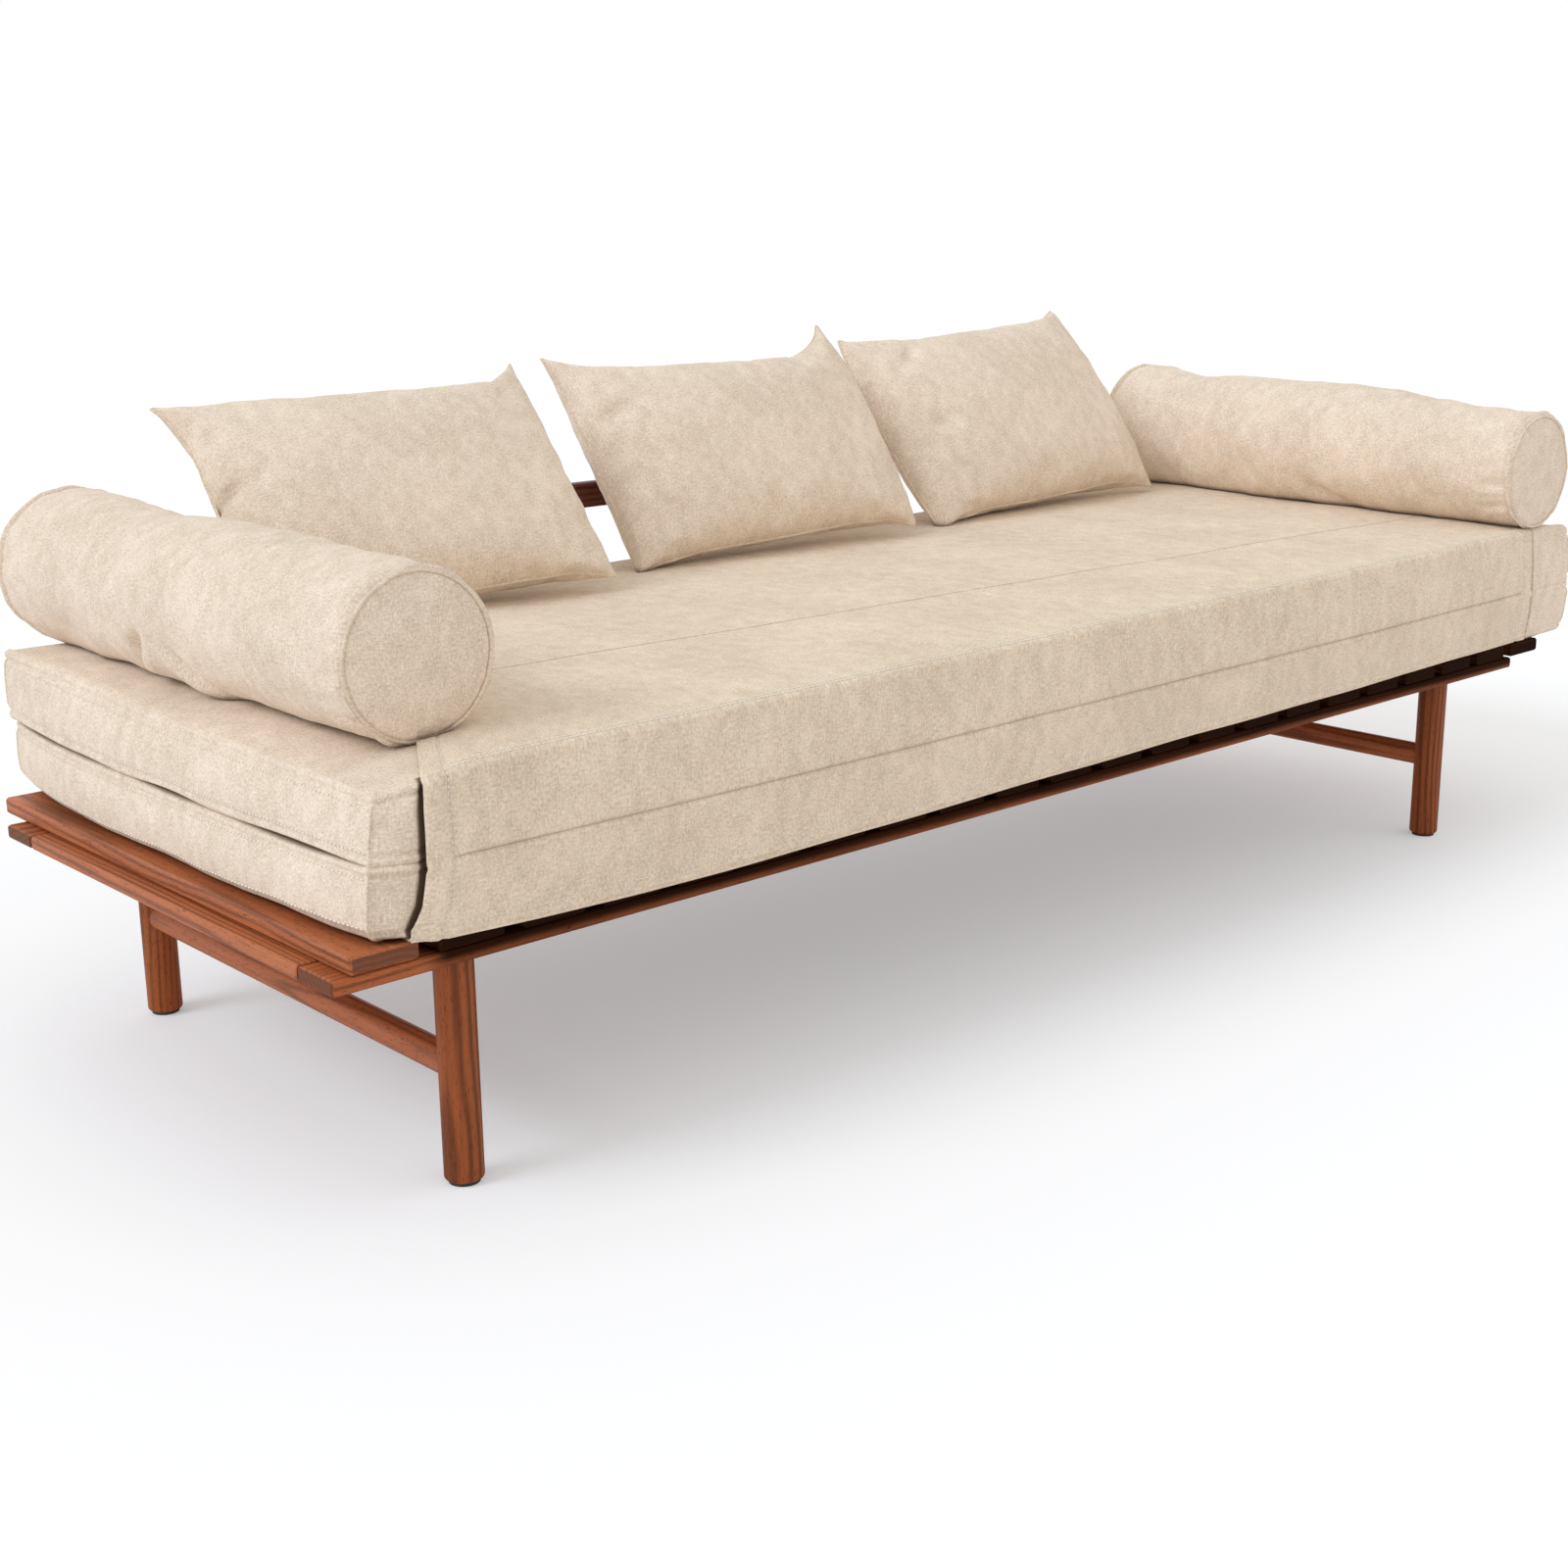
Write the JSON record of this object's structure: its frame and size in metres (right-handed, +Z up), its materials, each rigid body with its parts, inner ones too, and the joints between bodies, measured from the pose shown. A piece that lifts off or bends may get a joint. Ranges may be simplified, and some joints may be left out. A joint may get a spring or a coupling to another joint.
{
  "type": "sofa bed",
  "caption": "Slatted timber sofa bed with round stretchered legs, a folded mattress in a fabric band, round bolsters and loose back cushions leaning on a slim rail.",
  "frame": {"origin": "middle of the whole object's footprint, on the floor under the feet", "axes": "+X along the length to the right as one faces the sofa, the front faces -Y, +Z up"},
  "size_m": [2.07, 0.8419, 0.7057],
  "materials": {
    "stained_beech": "satin",
    "stained_beech_back": "satin",
    "felt_glide": "felt",
    "beige_cover": "brushed woven cover",
    "beige_band": "brushed woven cover"
  },
  "bodies": {
    "frame": {"front_rail": "stained_beech", "rear_rail": "stained_beech", "left_end_rail": "stained_beech", "middle_cross_rail": "stained_beech", "right_end_rail": "stained_beech", "leg_front_left": "stained_beech", "leg_front_right": "stained_beech", "leg_rear_left": "stained_beech", "leg_rear_right": "stained_beech", "glide_front_left": "felt_glide", "glide_front_right": "felt_glide", "glide_rear_left": "felt_glide", "glide_rear_right": "felt_glide", "stretcher_left": "stained_beech", "stretcher_right": "stained_beech", "slat_01": "stained_beech", "slat_02": "stained_beech", "slat_03": "stained_beech", "slat_04": "stained_beech", "slat_05": "stained_beech", "slat_06": "stained_beech", "slat_07": "stained_beech", "slat_08": "stained_beech", "slat_09": "stained_beech", "slat_10": "stained_beech", "slat_11": "stained_beech", "slat_12": "stained_beech", "slat_13": "stained_beech", "slat_14": "stained_beech", "slat_15": "stained_beech", "slat_16": "stained_beech", "slat_17": "stained_beech", "slat_18": "stained_beech", "slat_19": "stained_beech", "slat_20": "stained_beech", "slat_21": "stained_beech", "slat_22": "stained_beech", "back_rail": "stained_beech_back", "back_post_left": "stained_beech_back", "back_post_middle": "stained_beech_back", "back_post_right": "stained_beech_back", "post_bracket_left": "stained_beech", "post_bracket_middle": "stained_beech", "post_bracket_right": "stained_beech"},
    "mattress": {"mattress_lower": "beige_cover", "mattress_upper": "beige_cover", "mattress_band": "beige_band"},
    "cushion_left": {"cushion_left": "beige_cover"},
    "cushion_middle": {"cushion_middle": "beige_cover"},
    "cushion_right": {"cushion_right": "beige_cover"},
    "bolster_left": {"bolster_left": "beige_cover"},
    "bolster_right": {"bolster_right": "beige_cover"}
  },
  "joints": [
    {"name": "mattress_lift", "type": "slide", "parent": "frame", "child": "mattress", "axis": [0, 0, 1], "range_m": [0, 0.25]},
    {"name": "cushion_left_lift", "type": "slide", "parent": "mattress", "child": "cushion_left", "axis": [0, 0, 1], "range_m": [0, 0.3]},
    {"name": "cushion_middle_lift", "type": "slide", "parent": "mattress", "child": "cushion_middle", "axis": [0, 0, 1], "range_m": [0, 0.3]},
    {"name": "cushion_right_lift", "type": "slide", "parent": "mattress", "child": "cushion_right", "axis": [0, 0, 1], "range_m": [0, 0.3]},
    {"name": "bolster_left_lift", "type": "slide", "parent": "mattress", "child": "bolster_left", "axis": [0, 0, 1], "range_m": [0, 0.3]},
    {"name": "bolster_right_lift", "type": "slide", "parent": "mattress", "child": "bolster_right", "axis": [0, 0, 1], "range_m": [0, 0.3]}
  ]
}
